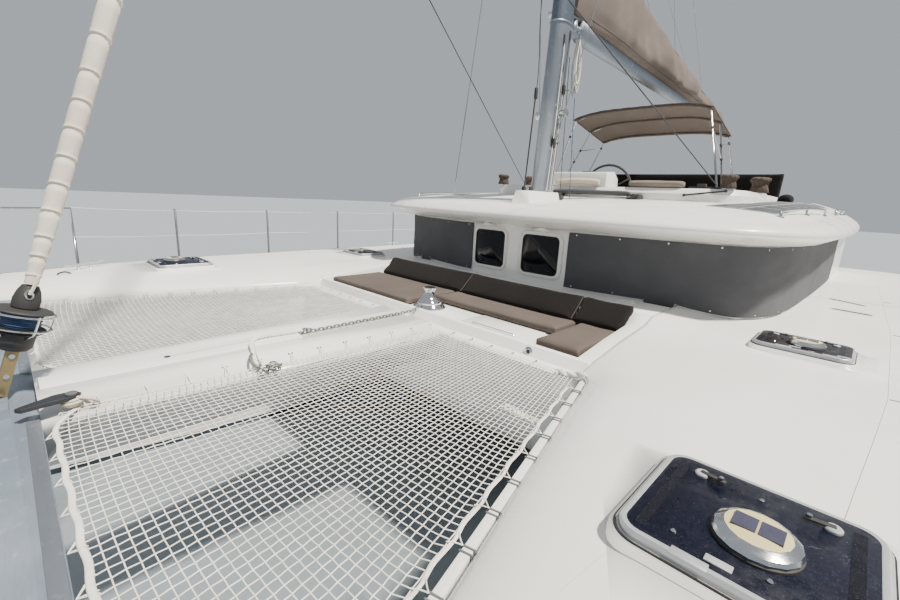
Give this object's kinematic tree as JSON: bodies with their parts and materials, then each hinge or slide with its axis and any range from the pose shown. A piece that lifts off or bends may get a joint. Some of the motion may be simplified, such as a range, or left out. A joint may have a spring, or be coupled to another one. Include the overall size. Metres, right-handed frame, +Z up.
{
  "type": "sailing catamaran",
  "caption": "Cruising sailing catamaran afloat: twin hulls, foredeck nets, windowed saloon under a broad roof, raised helm with small canopy, mast, boom and furled headsail.",
  "frame": {"origin": "the waterline amidships, on the centreline", "axes": "+X forward to the bows, +Y to port, +Z up"},
  "size_m": [13.6, 7.7, 21.8],
  "materials": {
    "gelcoat": "glossy white gelcoat with a fine non-skid on the decks",
    "aluminium": "anodised, satin",
    "stainless": "polished stainless steel",
    "netting": "white braided net cord",
    "cover_fabric": "grey woven window covers",
    "acrylic": "dark tinted acrylic",
    "taupe_fabric": "taupe acrylic canvas",
    "dark_fabric": "dark brown-grey canvas",
    "sailcloth": "cream sacrificial cloth over furled sailcloth",
    "black_plastic": "black moulded plastic",
    "grey_paint": "grey drive paint",
    "bronze": "cast bronze"
  },
  "bodies": {
    "root": {"hull_port": "gelcoat", "hull_starboard": "gelcoat", "bridgedeck": "gelcoat", "foredeck_beam": "gelcoat", "net_bar_port": "gelcoat", "net_bar_starboard": "gelcoat", "cabin_front": "gelcoat", "cabin_side_port": "gelcoat", "cabin_side_starboard": "gelcoat", "cabin_bulkhead": "gelcoat", "coachroof": "gelcoat", "flybridge": "gelcoat", "helm_console": "gelcoat", "cockpit_table": "gelcoat", "crossbeam": "aluminium", "mast": "aluminium", "spreader_port": "aluminium", "spreader_starboard": "aluminium", "beam_striker": "stainless", "bimini_frame": "stainless", "shroud_port": "stainless", "shroud_starboard": "stainless", "anchor_chain": "stainless", "anchor": "stainless", "guardrail_port": "stainless", "guardrail_starboard": "stainless", "trampoline_port": "netting", "trampoline_starboard": "netting", "window_cover_port": "cover_fabric", "window_cover_starboard": "cover_fabric", "portlight_port": "acrylic", "portlight_starboard": "acrylic", "bulkhead_window": "acrylic", "flybridge_seat": "taupe_fabric", "bimini_canopy": "taupe_fabric", "seat_pad_port": "taupe_fabric", "seat_pad_centre": "taupe_fabric", "seat_pad_starboard": "taupe_fabric", "flybridge_backrest": "dark_fabric", "backrest_port": "dark_fabric", "backrest_centre": "dark_fabric", "backrest_starboard": "dark_fabric", "saildrive_port": "grey_paint", "saildrive_starboard": "grey_paint"},
    "boom_rig": {"boom": "aluminium", "sail_bag": "taupe_fabric"},
    "furler": {"furled_genoa": "sailcloth", "furler_drum": "black_plastic"},
    "rudder_p": {"rudder_port": "gelcoat"},
    "rudder_s": {"rudder_starboard": "gelcoat"},
    "wheel": {"helm_wheel": "black_plastic"},
    "prop_p": {"propeller_port": "bronze"},
    "prop_s": {"propeller_starboard": "bronze"},
    "windlass": {"windlass_drum": "stainless"},
    "lid_fore_p": {"hatch_lid_fore_port": "acrylic"},
    "lid_fore_s": {"hatch_lid_fore_starboard": "acrylic"},
    "lid_mid_p": {"hatch_lid_mid_port": "acrylic"},
    "lid_mid_s": {"hatch_lid_mid_starboard": "acrylic"},
    "locker": {"locker_lid": "gelcoat"},
    "door": {"saloon_door": "acrylic"}
  },
  "joints": [
    {"name": "boom_swing", "type": "hinge", "parent": "root", "child": "boom_rig", "pos_m": [1.33, 0, 4.61], "axis": [0, 0, 1], "range_deg": [-55, 55]},
    {"name": "furler_turn", "type": "hinge", "parent": "root", "child": "furler", "pos_m": [5.75, 0, 2.33], "axis": [-0.3149, 0, 0.9491], "continuous": true},
    {"name": "rudder_port_turn", "type": "hinge", "parent": "root", "child": "rudder_p", "pos_m": [-6.15, 2.745, -0.8], "axis": [0, 0, 1], "range_deg": [-30, 30]},
    {"name": "rudder_starboard_turn", "type": "hinge", "parent": "root", "child": "rudder_s", "pos_m": [-6.15, -2.745, -0.8], "axis": [0, 0, 1], "range_deg": [-30, 30]},
    {"name": "wheel_turn", "type": "hinge", "parent": "root", "child": "wheel", "pos_m": [0.0717, 0, 3], "axis": [1, 0, 0], "range_deg": [-270, 270]},
    {"name": "propeller_port_spin", "type": "hinge", "parent": "root", "child": "prop_p", "pos_m": [-4.56, 2.745, -0.9], "axis": [1, 0, 0], "continuous": true},
    {"name": "propeller_starboard_spin", "type": "hinge", "parent": "root", "child": "prop_s", "pos_m": [-4.56, -2.745, -0.9], "axis": [1, 0, 0], "continuous": true},
    {"name": "windlass_turn", "type": "hinge", "parent": "root", "child": "windlass", "pos_m": [3.2, -0.06, 1.95], "axis": [0, 0, 1], "continuous": true},
    {"name": "hatch_fore_port_lift", "type": "hinge", "parent": "root", "child": "lid_fore_p", "pos_m": [4.77, 2.61, 1.978], "axis": [0, 1, 0], "range_deg": [0, 85]},
    {"name": "hatch_fore_starboard_lift", "type": "hinge", "parent": "root", "child": "lid_fore_s", "pos_m": [4.77, -2.61, 1.978], "axis": [0, 1, 0], "range_deg": [0, 85]},
    {"name": "hatch_mid_port_lift", "type": "hinge", "parent": "root", "child": "lid_mid_p", "pos_m": [2.435, 2.5, 1.978], "axis": [0, 1, 0], "range_deg": [0, 85]},
    {"name": "hatch_mid_starboard_lift", "type": "hinge", "parent": "root", "child": "lid_mid_s", "pos_m": [2.435, -2.5, 1.978], "axis": [0, 1, 0], "range_deg": [0, 85]},
    {"name": "locker_lid_lift", "type": "hinge", "parent": "root", "child": "locker", "pos_m": [3.045, 0.765, 1.853], "axis": [0, -1, 0], "range_deg": [0, 80]},
    {"name": "saloon_door_slide", "type": "slide", "parent": "root", "child": "door", "axis": [0, 1, 0], "range_m": [0, 0.7]}
  ],
  "couplings": [
    {"joint": "rudder_starboard_turn", "follows": "rudder_port_turn", "ratio": 1},
    {"joint": "wheel_turn", "follows": "rudder_port_turn", "ratio": 9}
  ]
}
